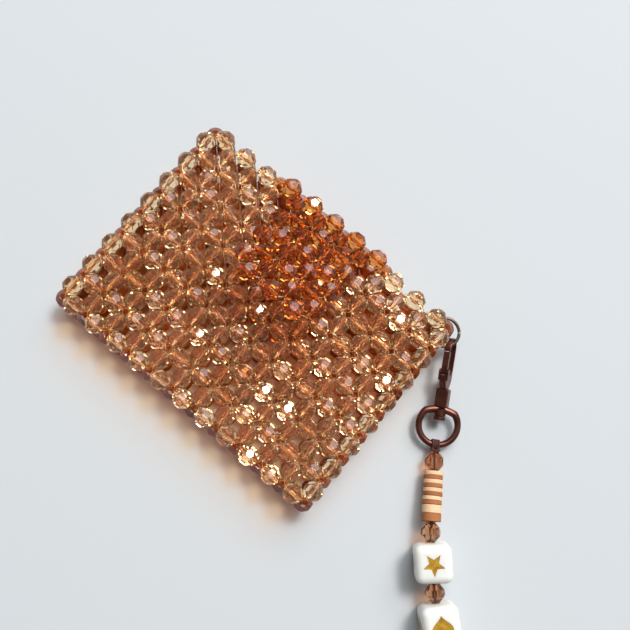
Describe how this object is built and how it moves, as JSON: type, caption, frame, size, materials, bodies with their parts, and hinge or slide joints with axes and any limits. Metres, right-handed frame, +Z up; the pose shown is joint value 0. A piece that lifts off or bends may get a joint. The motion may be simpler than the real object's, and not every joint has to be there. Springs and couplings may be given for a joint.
{
  "type": "coin purse",
  "caption": "Flat coin purse woven from faceted beads, with a fold-over bead flap, a swivel clasp at one corner and a clip-on strand of beads and blocks.",
  "frame": {"origin": "middle of the back panel's resting face", "axes": "+Z up from the resting face, +X along the pouch's long side towards the clasp, +Y towards the mouth and flap"},
  "size_m": [0.1893, 0.1227, 0.0305],
  "materials": {
    "champagne_bead": "clear champagne acrylic, faceted",
    "rust_bead": "clear acrylic, faceted, deep in its own shade",
    "amber_bead": "dark amber acrylic, faceted",
    "strand_bead": "clear rose-brown acrylic, faceted",
    "clear_thread": "fine nylon thread",
    "bronze_metal": "dark copper-brown plating",
    "wax_cord": "waxed dark brown cord",
    "cream_clay": "matte cream polymer clay",
    "brown_clay": "matte brown polymer clay",
    "white_silicone": "soft white silicone",
    "gold_mark": "gold paint in the marks pressed into the blocks"
  },
  "bodies": {
    "pouch": {"back_panel_row_beads": "champagne_bead", "back_panel_column_beads": "champagne_bead", "front_panel_row_beads": "champagne_bead", "front_panel_column_beads": "champagne_bead", "bottom_gusset_beads": "rust_bead", "left_side_gusset_beads": "rust_bead", "right_side_gusset_beads": "rust_bead", "back_panel_thread": "clear_thread", "front_panel_thread": "clear_thread", "gusset_thread": "clear_thread"},
    "flap_riser": {"flap_riser_beads": "amber_bead", "flap_riser_thread": "clear_thread"},
    "flap_cover": {"flap_fold_beads": "amber_bead", "flap_row_beads": "amber_bead", "flap_column_beads": "amber_bead", "flap_thread": "clear_thread"},
    "jump_ring": {"jump_ring": "bronze_metal"},
    "clasp": {"clasp_hook": "bronze_metal", "clasp_collar": "bronze_metal", "swivel_pin": "bronze_metal", "gate_pin": "bronze_metal"},
    "gate": {"clasp_gate": "bronze_metal"},
    "swivel": {"swivel_ring": "bronze_metal"},
    "strand_lead": {"ring_cord_loops": "wax_cord", "strand_bead_1": "strand_bead", "lead_cream_discs": "cream_clay", "lead_brown_discs": "brown_clay", "strand_bead_2": "strand_bead", "strand_cord_1": "wax_cord"},
    "strand_link_1": {"block_1": "white_silicone", "strand_bead_3": "strand_bead", "strand_cord_2": "wax_cord"},
    "strand_link_2": {"block_2": "white_silicone", "strand_bead_4": "strand_bead", "strand_cord_3": "wax_cord"},
    "strand_link_3": {"block_3": "white_silicone", "strand_bead_5": "strand_bead", "strand_cord_4": "wax_cord"},
    "strand_link_4": {"block_4": "white_silicone", "strand_bead_6": "strand_bead", "strand_cord_5": "wax_cord"},
    "strand_tail": {"tail_cream_discs": "cream_clay", "tail_brown_discs": "brown_clay", "strand_bead_7": "strand_bead", "strand_cord_6": "wax_cord", "end_knot": "wax_cord"}
  },
  "joints": [
    {"name": "flap_open", "type": "hinge", "parent": "flap_riser", "child": "flap_cover", "pos_m": [0, 0.03581, 0.01318], "axis": [-1, 0, 0], "range_deg": [0, 90]},
    {"name": "riser_lean", "type": "hinge", "parent": "pouch", "child": "flap_riser", "pos_m": [0, 0.03394, 0.00268], "axis": [-1, 0, 0], "range_deg": [0, 63]},
    {"name": "jump_ring_swing", "type": "hinge", "parent": "pouch", "child": "jump_ring", "pos_m": [0.04667, 0.03394, 0.0069], "axis": [0, 0, 1], "range_deg": [0, 80]},
    {"name": "clasp_swing", "type": "hinge", "parent": "jump_ring", "child": "clasp", "pos_m": [0.05169, 0.0317, 0.0069], "axis": [0, 0, 1], "range_deg": [0, 20]},
    {"name": "gate_open", "type": "hinge", "parent": "clasp", "child": "gate", "pos_m": [0.05505, 0.02361, 0.0077], "axis": [-0.7907, -0.4139, -0.4512], "range_deg": [0, 28], "stiffness_Nm_per_rad": 0.0008, "springref_deg": -2.86},
    {"name": "swivel_turn", "type": "hinge", "parent": "clasp", "child": "swivel", "pos_m": [0.06753, 0.00522, 0.0027], "axis": [-0.51, 0.8529, 0.1115], "continuous": true},
    {"name": "strand_swing", "type": "hinge", "parent": "swivel", "child": "strand_lead", "pos_m": [0.06753, 0.00522, 0.0027], "axis": [0, 0, 1], "range_deg": [-15, 15]},
    {"name": "strand_bend_1", "type": "hinge", "parent": "strand_lead", "child": "strand_link_1", "pos_m": [0.08213, -0.01627, 0.0061], "axis": [0, 0, 1], "range_deg": [-20, 20]},
    {"name": "strand_bend_2", "type": "hinge", "parent": "strand_link_1", "child": "strand_link_2", "pos_m": [0.09404, -0.02908, 0.0061], "axis": [0, 0, 1], "range_deg": [-20, 20]},
    {"name": "strand_bend_3", "type": "hinge", "parent": "strand_link_2", "child": "strand_link_3", "pos_m": [0.10705, -0.04079, 0.0061], "axis": [0, 0, 1], "range_deg": [-20, 20]},
    {"name": "strand_bend_4", "type": "hinge", "parent": "strand_link_3", "child": "strand_link_4", "pos_m": [0.11921, -0.05338, 0.0061], "axis": [0, 0, 1], "range_deg": [-20, 20]},
    {"name": "strand_bend_5", "type": "hinge", "parent": "strand_link_4", "child": "strand_tail", "pos_m": [0.12974, -0.06736, 0.0061], "axis": [0, 0, 1], "range_deg": [-20, 20]}
  ],
  "couplings": [
    {"joint": "riser_lean", "follows": "flap_open", "ratio": 0.7}
  ]
}
